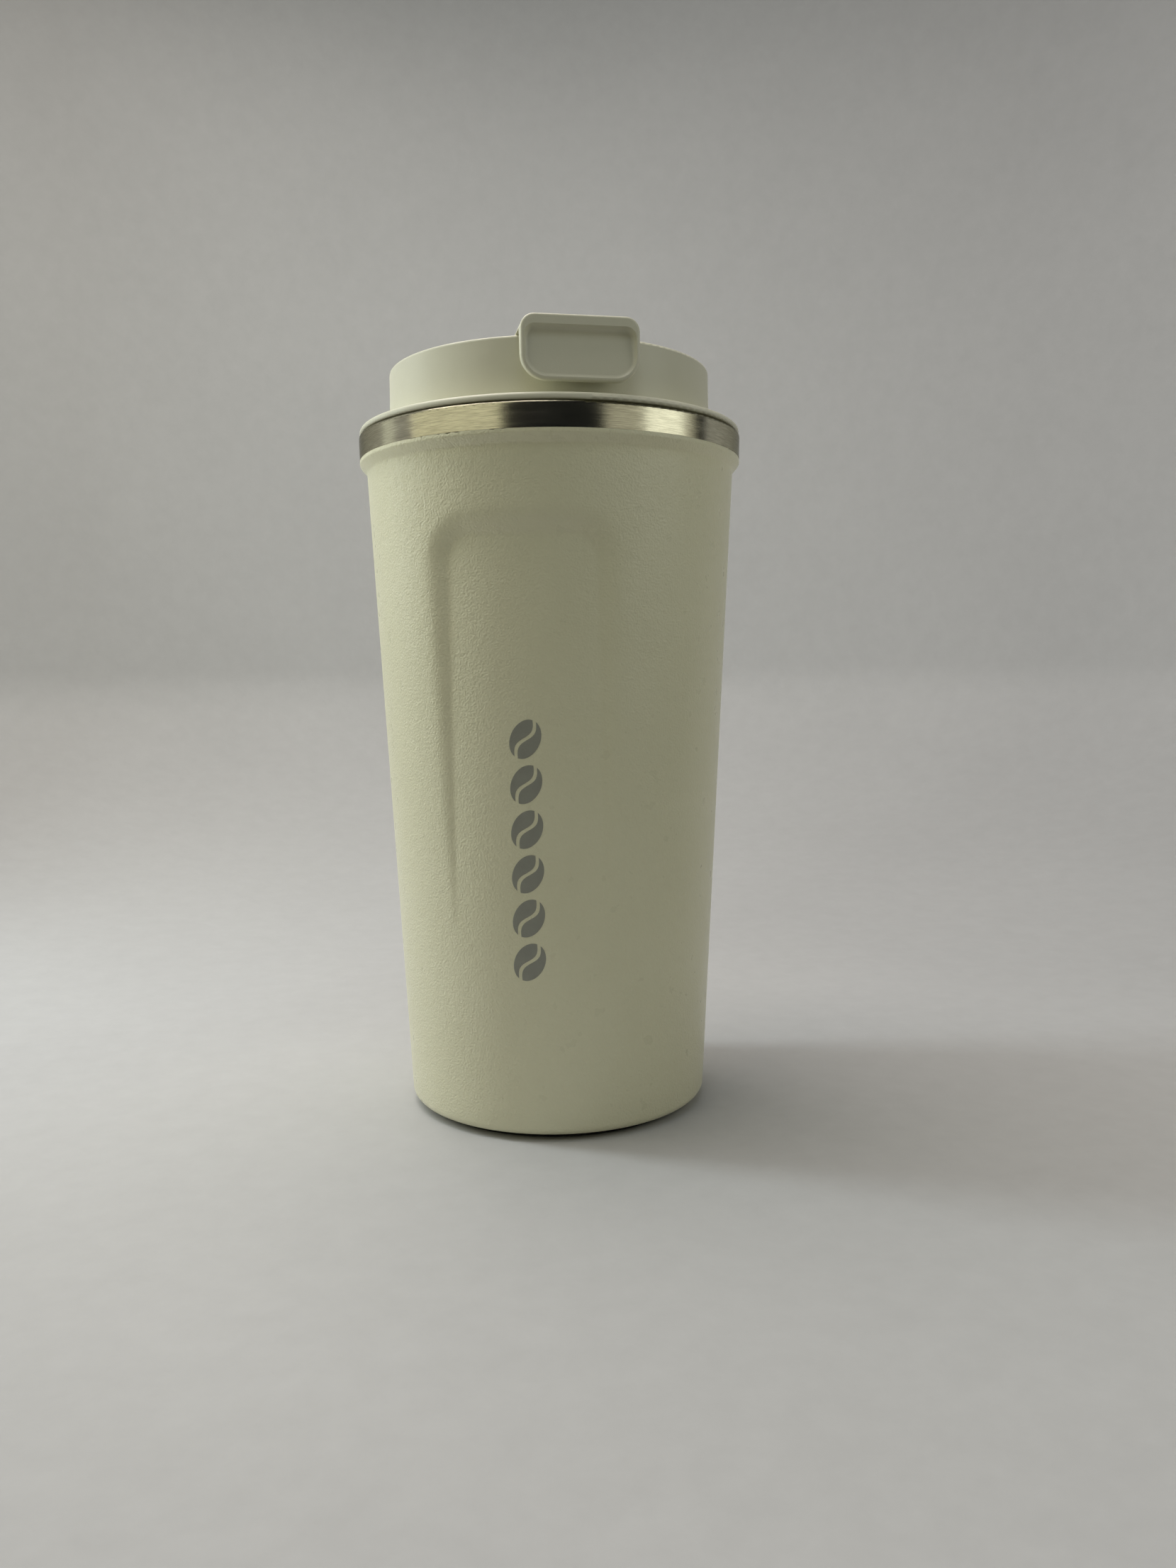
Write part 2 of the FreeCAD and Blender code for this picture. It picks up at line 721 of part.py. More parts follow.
# ---- flip cover ----
def scoop_outline(side_run, low_run, top_run, depth_at):
    """The hollow's outline, drawn in from its rim by the runs, at a depth that depends on the height."""
    half = ARM_WIDTH / 2 - SCOOP_RIM - side_run
    low = TAB_BOTTOM + SCOOP_RIM + low_run
    high = MUG_HEIGHT - SCOOP_LIP - top_run
    low_corner = TAB_CORNER - SCOOP_RIM - side_run / 2
    high_corner = ARM_TOP_CORNER - SCOOP_RIM - side_run / 2
    corners = [
        (-half, low, low_corner),
        (half, low, low_corner),
        (half, high, high_corner),
        (-half, high, high_corner),
    ]
    return rounded_wire(corners, lambda x, z: Vector(x, depth_at(z) - TAB_FRONT, z))


def tab_scoop():
    """The finger hollow in the tab's face: deepest under the top lip, shallow at the bottom."""
    low = TAB_BOTTOM + SCOOP_RIM + SCOOP_LOW_RUN
    high = MUG_HEIGHT - SCOOP_LIP - SCOOP_TOP_RUN

    def floor_depth(z):
        return SCOOP_LOW_DEPTH + (SCOOP_HIGH_DEPTH - SCOOP_LOW_DEPTH) * (z - low) / (high - low)

    rim = scoop_outline(0, 0, 0, lambda z: 0)
    floor = scoop_outline(SCOOP_SIDE_RUN, SCOOP_LOW_RUN, SCOOP_TOP_RUN, floor_depth)
    hollow = Part.makeLoft([rim, floor], True, True)
    floor_edges = edges_where(hollow, lambda p: abs(p.y + TAB_FRONT - floor_depth(p.z)) < 0.01)
    hollow = hollow.makeFillet(SCOOP_FILLET, floor_edges)
    in_front = Part.Face(rim).extrude(Vector(0, -MARGIN, 0))
    return hollow.fuse(in_front)


def arm_and_tab():
    """The flip cover's outside: a box from the rounded hinge end to the tab, which hangs over the rim."""
    half = ARM_WIDTH / 2
    knuckle = MUG_HEIGHT - HINGE_Z
    rounding = knuckle * 0.999
    heel = HINGE_Y - 5.0
    arm = front_view(
        [
            (-half, ARM_UNDERSIDE),
            (half, ARM_UNDERSIDE),
            (half, MUG_HEIGHT, ARM_TOP_CORNER),
            (-half, MUG_HEIGHT, ARM_TOP_CORNER),
        ],
        -TAB_FRONT,
        HINGE_Y + knuckle,
    )
    round_end = side_view(
        [
            (-TAB_FRONT, TAB_BOTTOM),
            (heel, TAB_BOTTOM),
            (heel, HINGE_Z - knuckle),
            (HINGE_Y + knuckle, HINGE_Z - knuckle, rounding),
            (HINGE_Y + knuckle, MUG_HEIGHT, rounding),
            (-TAB_FRONT, MUG_HEIGHT),
        ],
        -half,
        half,
    )
    tab = front_view(
        [
            (-half, TAB_BOTTOM, TAB_CORNER),
            (half, TAB_BOTTOM, TAB_CORNER),
            (half, MUG_HEIGHT, ARM_TOP_CORNER),
            (-half, MUG_HEIGHT, ARM_TOP_CORNER),
        ],
        -TAB_FRONT,
        8 - DISH_RADIUS,
    )
    body = arm.common(round_end).fuse(tab).removeSplitter()
    front_edges = edges_where(body, lambda p: abs(p.y + TAB_FRONT) < 0.01)
    return body.makeFillet(TAB_EDGE, front_edges)


def lid_keep_out():
    """The room that the flip cover leaves for the lid: over the deck, over the rim and behind the tab."""
    low = TAB_BOTTOM - 5
    inside = DISH_RADIUS - RIM_GAP
    outside = DRUM_RADIUS + RIM_GAP
    over_rim = DRUM_TOP + RIM_GAP
    rim = turned(
        [
            (inside, low),
            (outside, low),
            (outside, over_rim, 0.8),
            (inside, over_rim, 0.8),
        ]
    )
    deck = rod(DISH_RADIUS, Vector(0, 0, low), ARM_UNDERSIDE - low)
    behind_tab = side_view(
        [
            (TAB_LOW_THICKNESS - TAB_FRONT, low),
            (TAB_LOW_THICKNESS - TAB_FRONT, TAB_BOTTOM),
            (TAB_HIGH_THICKNESS - TAB_FRONT, over_rim, 0.8),
            (8 - DISH_RADIUS, over_rim),
            (8 - DISH_RADIUS, low),
        ],
        -ARM_WIDTH,
        ARM_WIDTH,
    )
    arm_room = rod(inside, Vector(0, 0, low - MARGIN), over_rim - low + 2 * MARGIN)
    return [rim, deck, behind_tab.cut(arm_room)]


def flip_cover():
    """The hinged cover: a hollow arm from the hinge to the rim, ending in the thumb tab."""
    cavity = upright(
        rectangle(-CAVITY_HALF, CAVITY_HALF, CAVITY_FRONT, CAVITY_BACK, 1.5),
        ARM_UNDERSIDE - MARGIN,
        CAVITY_TOP,
    )
    body = arm_and_tab()
    for room in lid_keep_out():
        body = body.cut(room)
    body = body.cut(cavity).cut(tab_scoop())
    return body.cut(hinge_hole(PIN_RADIUS + PIN_CLEARANCE))


def spout_neck():
    """The part of the stopper that passes through the flip cover's inner plate."""
    overlap = 0.2
    return slot(SPOUT_Y, NECK_LENGTH, NECK_WIDTH, ARM_UNDERSIDE - overlap, INNER_TOP + overlap)


def flip_inner():
    """The plate that closes the hollow arm from below and holds the stopper and the vent plug."""
    gap = INNER_GAP
    plate = upright(
        rectangle(-CAVITY_HALF + gap, CAVITY_HALF - gap, CAVITY_FRONT + gap, CAVITY_BACK - gap, 1.5 - gap),
        ARM_UNDERSIDE,
        INNER_TOP,
    )
    for x in (-INNER_RIB_X, INNER_RIB_X):
        outline = rectangle(x - INNER_RIB_HALF, x + INNER_RIB_HALF, INNER_RIB_FRONT, INNER_RIB_BACK)
        plate = plate.fuse(upright(outline, INNER_TOP - 0.1, CAVITY_TOP))
    low = ARM_UNDERSIDE - MARGIN
    vent_hole = rod(VENT_NECK, Vector(0, VENT_Y, low), INNER_TOP + MARGIN - low)
    return plate.cut(spout_neck()).cut(vent_hole).removeSplitter()


def slot_outline(z, grow):
    """The drinking hole's outline at a height, grown all round by grow."""
    block = slot(SPOUT_Y, SPOUT_LENGTH, SPOUT_WIDTH, z, z + 1, grow=grow)
    return min(block.Faces, key=lambda face: face.CenterOfMass.z).OuterWire


def spout_plug():
    """The silicone stopper: a pad over the drinking hole and a tapered plug in it."""
    pad_low = DECK_TOP + PAD_GAP
    tip = slot_outline(DECK_UNDERSIDE - 0.5, grow=-1.0)
    root = slot_outline(pad_low + 0.05, grow=-0.3)
    taper = Part.makeLoft([tip, root], True, True)
    pad = slot(SPOUT_Y, SPOUT_LENGTH, SPOUT_WIDTH, pad_low, ARM_UNDERSIDE, grow=PAD_GROW)
    head = slot(SPOUT_Y, HEAD_LENGTH, HEAD_WIDTH, INNER_TOP, INNER_TOP + HEAD_HEIGHT)
    return taper.fuse([pad, spout_neck(), head]).removeSplitter()


def vent_plug():
    """The small silicone plug that closes the air hole with the cover down."""
    nub_low = DECK_TOP - 0.7
    pad_low = DECK_TOP + PAD_GAP + 0.05
    head_top = INNER_TOP + HEAD_HEIGHT - 0.1
    return turned_about(
        VENT_Y,
        [
            (0, nub_low),
            (VENT_NUB, nub_low, 0.3),
            (VENT_NUB, pad_low),
            (VENT_PAD, pad_low, 0.3),
            (VENT_PAD, ARM_UNDERSIDE),
            (VENT_NECK, ARM_UNDERSIDE),
            (VENT_NECK, INNER_TOP),
            (VENT_HEAD, INNER_TOP),
            (VENT_HEAD, head_top, 0.3),
            (0, head_top),
        ],
    )


def turned_about(y, corners):
    """A solid of revolution about an upright line at x = 0 and the given y."""
    solid = turned(corners)
    solid.translate(Vector(0, y, 0))
    return solid


NODES = {
    "outer_shell": outer_shell,
    "mouth_collar": mouth_collar,
    "inner_liner": inner_liner,
    "liner_bottom": liner_bottom,
    "copper_foil_wrap": copper_foil_wrap,
    "getter_clip": getter_clip,
    "getter_pellet": getter_pellet,
    "vacuum_base_disc": vacuum_base_disc,
    "solder_seal": solder_seal,
    "base_plate": base_plate,
    "non_slip_foot": non_slip_foot,
    "main_seal": main_seal,
    "lid_cover": lid_cover,
    "lid_base": lid_base,
    "drinking_duct": drinking_duct,
    "duct_gasket": duct_gasket,
    "hinge_pin": hinge_pin,
    "flip_cover": flip_cover,
    "flip_inner": flip_inner,
    "spout_plug": spout_plug,
    "vent_plug": vent_plug,
}


def main():
    os.makedirs("parts", exist_ok=True)
    for name, make in NODES.items():
        shape = make()
        box = shape.optimalBoundingBox()
        print(
            f"{name}: {len(shape.Solids)} solid, valid {shape.isValid()}, {shape.Volume / 1000:.2f} ml,"
            f" z {box.ZMin:.2f} to {box.ZMax:.2f}"
        )
        shape.exportStep(f"parts/{name}.step")


main()
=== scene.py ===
import math

import bmesh
import bpy
import numpy as np
from mathutils import Matrix, Vector


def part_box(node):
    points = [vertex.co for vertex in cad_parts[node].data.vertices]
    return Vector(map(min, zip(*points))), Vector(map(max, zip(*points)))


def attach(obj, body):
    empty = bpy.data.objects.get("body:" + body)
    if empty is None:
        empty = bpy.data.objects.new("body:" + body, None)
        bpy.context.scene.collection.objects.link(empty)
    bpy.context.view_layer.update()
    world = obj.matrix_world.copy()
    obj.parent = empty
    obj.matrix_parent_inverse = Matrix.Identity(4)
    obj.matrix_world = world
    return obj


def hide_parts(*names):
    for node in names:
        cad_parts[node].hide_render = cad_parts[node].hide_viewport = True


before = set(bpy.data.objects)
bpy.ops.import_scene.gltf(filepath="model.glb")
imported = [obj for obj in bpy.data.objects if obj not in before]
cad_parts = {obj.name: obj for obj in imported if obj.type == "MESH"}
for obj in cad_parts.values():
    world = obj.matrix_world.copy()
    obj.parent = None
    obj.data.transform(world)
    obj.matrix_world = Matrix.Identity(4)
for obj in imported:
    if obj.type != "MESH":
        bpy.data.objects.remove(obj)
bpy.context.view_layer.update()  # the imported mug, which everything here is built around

MM = 0.001

# ---- the coated outer wall's sizes in millimetres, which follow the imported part's ----
WALL_AT_TABLE = 35.8  # the wall's radius where the mug stands
WALL_TAPER = 0.0503  # how much that radius grows per millimetre of height
SHELL_WALL = 0.5
SHELL_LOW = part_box("outer_shell")[0].z / MM
SHELL_TOP = 153.6
NECK_Z = 150.9
NECK_FILLET = 1.2
LIP_Z = 152.7
LIP_FILLET = 0.7
RIM_RADIUS = 45.0
RIM_EDGE = 0.12  # the rounding of the rim's two edges
BOTTOM_CORNER = 2.2
BOTTOM_OPENING = 32.5
OPENING_EDGE = 0.25  # the rounding of the opening's edges
PANEL_AZIMUTHS = (-18.6, 161.4)  # degrees from the tab, seen from above
PANEL_HALF_WIDTH = 17.4
PANEL_TOP = 132.9
PANEL_FADE = 45.0  # the panel runs out into the wall at this height
PANEL_DEPTH = 1.8  # at its top
PANEL_SLOPE = math.tan(math.radians(25.0))
PANEL_CORNER = 5.8  # the rounding of the panel floor's upper corners
CREASE_WIDTH = 0.25  # how softly the panel's floor turns into its edge slopes
CREASE_DEPTH = 0.60  # and its edge slopes into the wall
CREASE_TAIL = 0.1  # the share of that softness that is taken off again outside the panel

# ---- how fine the outer wall's mesh is ----
SHELL_SEGMENTS = 540
PANEL_RANGE = (PANEL_FADE - 6.0, NECK_Z - 2.0)  # heights with smaller steps, for the panels
CREASE_RANGE = (PANEL_TOP - 9.0, PANEL_TOP + 7.0)  # and with the smallest, across their upper creases
PLAIN_STEP = 4.0
PANEL_STEP = 2.0
CREASE_STEP = 0.5

# ---- camera: where the photo was taken from, in millimetres and degrees ----
SENSOR_WIDTH = 36.0
FOCAL_LENGTH = 27.67
CAMERA_AZIMUTH = -9.0  # from the tab, seen from above
CAMERA_DISTANCE = 295.4
CAMERA_HEIGHT = 102.4
CAMERA_YAW = 1.59
CAMERA_PITCH = -4.97
CAMERA_ROLL = -0.638


# ---- mesh helpers ----
NEARLY_STRAIGHT = math.radians(179)  # a corner as flat as this is left as it is
LONGEST_LEFTOVER = 1.3  # a run's last piece may be this many full steps long
TOUCHING = 1e-7  # points this close, in metres, are one point


def new_object(name, vertices, faces, smooth_angle=35.0):
    """A mesh object from points in millimetres. Edges sharper than smooth_angle stay crisp."""
    mesh = bpy.data.meshes.new(name)
    mesh.from_pydata([tuple(c * MM for c in v) for v in vertices], [], faces)
    mesh.update()
    mesh.polygons.foreach_set("use_smooth", [True] * len(mesh.polygons))
    mesh.set_sharp_from_angle(angle=math.radians(smooth_angle))
    piece = bpy.data.objects.new(name, mesh)
    bpy.context.scene.collection.objects.link(piece)
    return piece


def rounded(corners, arc_step=9.0):
    """A closed outline from (u, v) or (u, v, radius) corners, with each rounding as a row of points."""
    points = []
    count = len(corners)
    for i, corner in enumerate(corners):
        here = Vector(corner[:2])
        radius = corner[2] if len(corner) > 2 else 0.0
        back = (Vector(corners[i - 1][:2]) - here).normalized()
        ahead = (Vector(corners[(i + 1) % count][:2]) - here).normalized()
        between = back.angle(ahead)
        if not radius or between > NEARLY_STRAIGHT:
            points.append(tuple(here))
            continue
        centre = here + (back + ahead).normalized() * (radius / math.sin(between / 2))
        start = here + back * (radius / math.tan(between / 2)) - centre
        sweep = math.pi - between
        if start.x * ahead.y - start.y * ahead.x < 0:
            sweep = -sweep
        steps = max(2, math.ceil(math.degrees(abs(sweep)) / arc_step))
        for k in range(steps + 1):
            angle = sweep * k / steps
            points.append(tuple(centre + Matrix.Rotation(angle, 2) @ start))
    return points


def refined(outline, step):
    """The closed outline with its long runs divided, so that step(u, v) is the longest piece near there."""
    points = []
    for (u0, v0), (u1, v1) in zip(outline, outline[1:] + outline[:1]):
        u, v = u0, v0
        points.append((u, v))
        while True:
            left = math.hypot(u1 - u, v1 - v)
            stride = step(u, v)
            if left <= stride * LONGEST_LEFTOVER:
                break
            u += (u1 - u) * stride / left
            v += (v1 - v) * stride / left
            points.append((u, v))
    return points


def lathe_points(outline, segments):
    """The outline's (radius, height) points turned about Z, as one array of rows of points."""
    angles = np.arange(segments) * (2 * math.pi / segments)
    rows = np.array(outline)
    x = np.outer(rows[:, 0], np.sin(angles))
    y = -np.outer(rows[:, 0], np.cos(angles))
    z = np.repeat(rows[:, 1:2], segments, axis=1)
    return np.stack([x, y, z], axis=2)


def ring_faces(row_count, segments):
    """Quads for a closed outline turned all the way round."""
    faces = []
    for row in range(row_count):
        above = (row + 1) % row_count
        for k in range(segments):
            right = (k + 1) % segments
            faces.append(
                (row * segments + k, row * segments + right, above * segments + right, above * segments + k)
            )
    return faces


# ---- the coated outer wall ----
def wall_radius(z):
    return WALL_AT_TABLE + WALL_TAPER * z


def soft_floor(value, softness):
    """max(value, 0), with the corner rounded over about softness."""
    return 0.5 * (value + np.sqrt(value * value + softness * softness))


def panel_depth(x, y, z):
    """How far the thumb panels sink the wall at each point: a leaning floor with sloped edges."""
    radius = np.hypot(x, y)
    azimuth = np.arctan2(x, -y)
    total = np.zeros_like(radius)
    for panel in PANEL_AZIMUTHS:
        turn = (azimuth - math.radians(panel) + math.pi) % (2 * math.pi) - math.pi
        across = np.abs(turn) * radius
        past_side = across - (PANEL_HALF_WIDTH - PANEL_CORNER)
        past_top = z - (PANEL_TOP - PANEL_CORNER)
        corner = np.hypot(np.maximum(past_side, 0), np.maximum(past_top, 0))
        outside = corner + np.minimum(np.maximum(past_side, past_top), 0) - PANEL_CORNER
        share = np.clip((z - PANEL_FADE) / (PANEL_TOP - PANEL_FADE), 0, 1)
        wanted = PANEL_DEPTH * share
        depth = wanted - PANEL_SLOPE * soft_floor(outside, CREASE_WIDTH)
        softness = np.minimum(CREASE_DEPTH, wanted)
        tail = CREASE_TAIL * softness * np.clip(-depth / CREASE_DEPTH, 0, 1)
        depth = np.maximum(soft_floor(depth, softness) - tail, 0)
        on_this_side = (np.abs(turn) < math.pi / 2) & (wanted > 0)
        total += np.where(on_this_side, depth, 0)
    return total


EDGE_BITE = 0.30  # millimetres that the coating's ragged edge at the rim is cut back at most
EDGE_BAND = 0.2  # only points this near the rim's top move with it


def coating_edge(azimuth):
    """How far the coating stops short of the rim's top: 0, apart from teeth in a few ragged stretches."""
    ragged = np.clip(np.sin(3 * azimuth + 3.6) + 0.4 * np.sin(7 * azimuth + 6.1) - 0.1, 0, 1)
    teeth = np.sin(71 * azimuth) * np.sin(43 * azimuth + 1.3) + 0.5 * np.sin(133 * azimuth + 0.4)
    return EDGE_BITE * ragged * np.clip(teeth - 0.25, 0, 1)


def make_outer_shell():
    """The coated wall, with both thumb panels pressed in and its rim's edge a little ragged."""
    low = SHELL_LOW
    wall = SHELL_WALL
    corners = [
        (BOTTOM_OPENING, low, OPENING_EDGE),
        (wall_radius(low), low, BOTTOM_CORNER),
        (wall_radius(NECK_Z), NECK_Z, NECK_FILLET),
        (RIM_RADIUS, LIP_Z, LIP_FILLET),
        (RIM_RADIUS, SHELL_TOP, RIM_EDGE),
        (RIM_RADIUS - wall, SHELL_TOP, RIM_EDGE),
        (RIM_RADIUS - wall, LIP_Z + wall / 2, LIP_FILLET / 2),
        (wall_radius(NECK_Z) - wall, NECK_Z + wall / 2, NECK_FILLET / 2),
        (wall_radius(low) - wall, low + wall, BOTTOM_CORNER - wall),
        (BOTTOM_OPENING, low + wall, OPENING_EDGE),
    ]

    def step(radius, z):
        inside = radius < wall_radius(z) - wall / 2
        if inside or not PANEL_RANGE[0] < z < PANEL_RANGE[1]:
            return PLAIN_STEP
        return CREASE_STEP if CREASE_RANGE[0] < z < CREASE_RANGE[1] else PANEL_STEP

    outline = refined(rounded(corners), step)
    points = lathe_points(outline, SHELL_SEGMENTS)
    x, y, z = points[..., 0], points[..., 1], points[..., 2]
    radius = np.hypot(x, y)
    kept = (radius - panel_depth(x, y, z)) / radius
    points[..., 0] = x * kept
    points[..., 1] = y * kept
    rim = (z > SHELL_TOP - EDGE_BAND) & (radius > RIM_RADIUS - wall / 2)
    points[..., 2] = z - np.where(rim, coating_edge(np.arctan2(x, -y)), 0)
    faces = ring_faces(len(outline), SHELL_SEGMENTS)
    shell = new_object("outer_shell_coated", points.reshape(-1, 3).tolist(), faces)
    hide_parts("outer_shell")
    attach(shell, "cup")
    return shell


# ---- printed mark: a column of coffee beans on the panel, in millimetres ----
BEAN_COUNT = 6
BEAN_LENGTH = 8.8
BEAN_WIDTH = 6.6
BEAN_TILT = math.radians(28)
BEAN_SLIT = 0.42  # half the slit's width
BEAN_SWAY = 0.9  # how far the slit curves to each side
BEAN_ROWS = 36
BEAN_COLUMNS = 7
MARK_LOW = 36.8
MARK_HIGH = 94.2
MARK_AZIMUTH = -18.0
INK_THICKNESS = 0.04


def bean_half(side):
    """Grid points (across, up) of one half of a bean, from its curved slit to its rim."""
    grid = []
    for i in range(BEAN_ROWS + 1):
        angle = math.pi * (i / BEAN_ROWS - 0.5)
        up = BEAN_LENGTH / 2 * math.sin(angle)
        rim = side * BEAN_WIDTH / 2 * math.cos(angle)
        slit = BEAN_SWAY * math.sin(math.pi * up / (BEAN_LENGTH * 0.5)) + side * BEAN_SLIT
        if side * (rim - slit) < 0:
            slit = rim
        for k in range(BEAN_COLUMNS + 1):
            grid.append((slit + (rim - slit) * k / BEAN_COLUMNS, up))
    return grid


def on_panel(across, z):
    """The point of the coated wall that lies across millimetres from the mark's centre line at height z."""
    radius = wall_radius(z)
    azimuth = math.radians(MARK_AZIMUTH) + across / radius
    x = radius * math.sin(azimuth)
    y = -radius * math.cos(azimuth)
    sunk = float(panel_depth(np.array([x]), np.array([y]), np.array([z]))[0])
    share = (radius - sunk + INK_THICKNESS) / radius
    return (x * share, y * share, z)


def merge_points(piece):
    """Joins points that fall together, which also drops faces that have no area."""
    editable = bmesh.new()
    editable.from_mesh(piece.data)
    bmesh.ops.remove_doubles(editable, verts=editable.verts, dist=TOUCHING)
    editable.to_mesh(piece.data)
    editable.free()


def bean_faces(first, flipped):
    """Quads over one bean half's grid of points, the first of which has the index first."""
    faces = []
    row_length = BEAN_COLUMNS + 1
    for i in range(BEAN_ROWS):
        for k in range(BEAN_COLUMNS):
            a = first + i * row_length + k
            quad = (a, a + 1, a + row_length + 1, a + row_length)
            faces.append(quad[::-1] if flipped else quad)
    return faces


def make_mark():
    """Six tilted beans, one above the other, each printed in two halves."""
    vertices = []
    faces = []
    spacing = (MARK_HIGH - MARK_LOW - BEAN_LENGTH) / (BEAN_COUNT - 1)
    for bean in range(BEAN_COUNT):
        centre_z = MARK_LOW + BEAN_LENGTH / 2 + bean * spacing
        for side in (-1, 1):
            faces += bean_faces(len(vertices), flipped=side < 0)
            for across, up in bean_half(side):
                turned_across = across * math.cos(BEAN_TILT) + up * math.sin(BEAN_TILT)
                turned_up = up * math.cos(BEAN_TILT) - across * math.sin(BEAN_TILT)
                vertices.append(on_panel(turned_across, centre_z + turned_up))
    mark = new_object("bean_column_print", vertices, faces)
    merge_points(mark)
    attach(mark, "cup")
    return mark


# ---- materials ----
class Shader:
    """A material's node tree, with one short call for each kind of node that is used here.

    Noise scales are in cycles per metre, and bump depths are in millimetres.
    """

    def __init__(self, name):
        self.material = bpy.data.materials.new(name)
        self.material.use_nodes = True
        self.nodes = self.material.node_tree.nodes
        self.links = self.material.node_tree.links
        self.surface = self.nodes["Principled BSDF"]
        self.place = self.nodes.new("ShaderNodeTexCoord").outputs["Object"]

    def set(self, **values):
        """Constants on the surface shader's own sockets."""
        for name, value in values.items():
            self.surface.inputs[name.replace("_", " ")].default_value = value

    def node(self, kind, inputs=(), **settings):
        """A new node, with each input linked to a socket or set to a value."""
        made = self.nodes.new(kind)
        for key, value in settings.items():
            setattr(made, key, value)
        for key, value in dict(inputs).items():
            if isinstance(value, bpy.types.NodeSocket):
                self.links.new(value, made.inputs[key])
            else:
                made.inputs[key].default_value = value
        return made

    def stretched(self, x, y, z):
        """The object's coordinates, multiplied along each axis."""
        return self.node("ShaderNodeMapping", {"Vector": self.place, "Scale": (x, y, z)}).outputs[0]

    def noise(self, scale, detail=2.0, roughness=0.5, distortion=0.0, place=None):
        inputs = {
            "Vector": place or self.place,
            "Scale": scale,
            "Detail": detail,
            "Roughness": roughness,
            "Distortion": distortion,
        }
        return self.node("ShaderNodeTexNoise", inputs).outputs["Fac"]

    def spread(self, value, low, high, start=0.3, end=0.7):
        """value from start to end, mapped to low to high."""
        inputs = {"Value": value, "From Min": start, "From Max": end, "To Min": low, "To Max": high}
        return self.node("ShaderNodeMapRange", inputs).outputs[0]

    def mixed(self, share, first, second):
        """first where share is 0, second where it is 1."""
        node = self.node("ShaderNodeMix", data_type="RGBA")
        for socket, value in zip((node.inputs[0], node.inputs[6], node.inputs[7]), (share, first, second)):
            if isinstance(value, bpy.types.NodeSocket):
                self.links.new(value, socket)
            else:
                socket.default_value = value
        return node.outputs[2]

    def mottled(self, noise, first, second):
        """Two close colours in soft patches that follow the noise."""
        return self.mixed(self.spread(noise, 0, 1), first, second)

    def compute(self, operation, first, second):
        return self.node("ShaderNodeMath", {0: first, 1: second}, operation=operation).outputs[0]

    def specks(self, scale, size, share, place=None):
        """1 inside sparse round spots, 0 elsewhere. share of the cells hold one."""
        cells = self.node("ShaderNodeTexVoronoi", {"Vector": place or self.place, "Scale": scale})
        inside = self.compute("LESS_THAN", cells.outputs["Distance"], size)
        chosen = self.node("ShaderNodeSeparateColor", {"Color": cells.outputs["Color"]})
        return self.compute("MULTIPLY", inside, self.compute("LESS_THAN", chosen.outputs[0], share))

    def bump(self, height, depth, below=None):
        inputs = {"Height": height, "Distance": depth * MM, "Strength": 1.0}
        if below is not None:
            inputs["Normal"] = below
        return self.node("ShaderNodeBump", inputs).outputs[0]

    def link(self, value, name):
        self.links.new(value, self.surface.inputs[name])


# ---- colours, as linear red, green, blue and opacity ----
CREAM = (0.850, 0.829, 0.600, 1)
CREAM_SHADE = (0.820, 0.799, 0.570, 1)
LID_CREAM = (0.71, 0.70, 0.56, 1)
LID_SHADE = (0.685, 0.675, 0.54, 1)
INNER_CREAM = (0.74, 0.73, 0.60, 1)
INNER_SHADE = (0.70, 0.69, 0.56, 1)
CHIP_BROWN = (0.16, 0.15, 0.12, 1)
MARK_BROWN = (0.22, 0.21, 0.18, 1)
INK = (0.300, 0.305, 0.262, 1)
INK_PALE = (0.335, 0.340, 0.290, 1)
STEEL_DARK = (0.46, 0.44, 0.34, 1)
STEEL_BRIGHT = (0.80, 0.775, 0.61, 1)
STEEL_EDGE = (0.45, 0.45, 0.42, 1)
SEAM_SHADOW_COLOUR = (0.05, 0.045, 0.035, 1)
DRAWN_STEEL_DARK = (0.60, 0.59, 0.55, 1)
DRAWN_STEEL_BRIGHT = (0.72, 0.71, 0.67, 1)
RUBBER_BLACK = (0.018, 0.018, 0.017, 1)
RUBBER_WORN = (0.035, 0.034, 0.031, 1)
SILICONE_MILK = (0.72, 0.71, 0.66, 1)
SILICONE_PALE = (0.78, 0.77, 0.73, 1)
COPPER_DARK = (0.72, 0.36, 0.22, 1)
COPPER_BRIGHT = (0.85, 0.47, 0.31, 1)
GETTER_DARK = (0.12, 0.12, 0.12, 1)
GETTER_PALE = (0.22, 0.21, 0.20, 1)
GLASS_DARK = (0.10, 0.13, 0.11, 1)
GLASS_PALE = (0.20, 0.24, 0.21, 1)
SKY = (0.9, 0.95, 1.0, 1)


def powder_coat():
    """Satin cream powder coat with an orange-peel surface and a few dark specks."""
    s = Shader("powder_coat_cream")
    colour = s.mottled(s.noise(38.0, detail=3.0), CREAM, CREAM_SHADE)
    chips = s.specks(42.0, 0.008, 0.14, s.stretched(1, 1, 0.55))
    s.link(s.mixed(chips, colour, CHIP_BROWN), "Base Color")
    s.link(s.spread(s.noise(260.0, detail=2.0), 0.27, 0.36), "Roughness")
    peel = s.noise(2200.0, detail=1.5, roughness=0.5)
    waves = s.noise(520.0, detail=1.0)
    s.link(s.bump(peel, 0.18, s.bump(waves, 0.1)), "Normal")
    s.set(Coat_Weight=0.10, Coat_Roughness=0.24)
    return s.material


def print_ink():
    """Grey screen-printed ink that lies on the coat's own texture."""
    s = Shader("print_ink_grey")
    s.link(s.mottled(s.noise(300.0, detail=3.0), INK, INK_PALE), "Base Color")
    s.link(s.spread(s.noise(900.0), 0.40, 0.52), "Roughness")
    s.link(s.bump(s.noise(1900.0, detail=1.5, roughness=0.5), 0.08), "Normal")
    return s.material
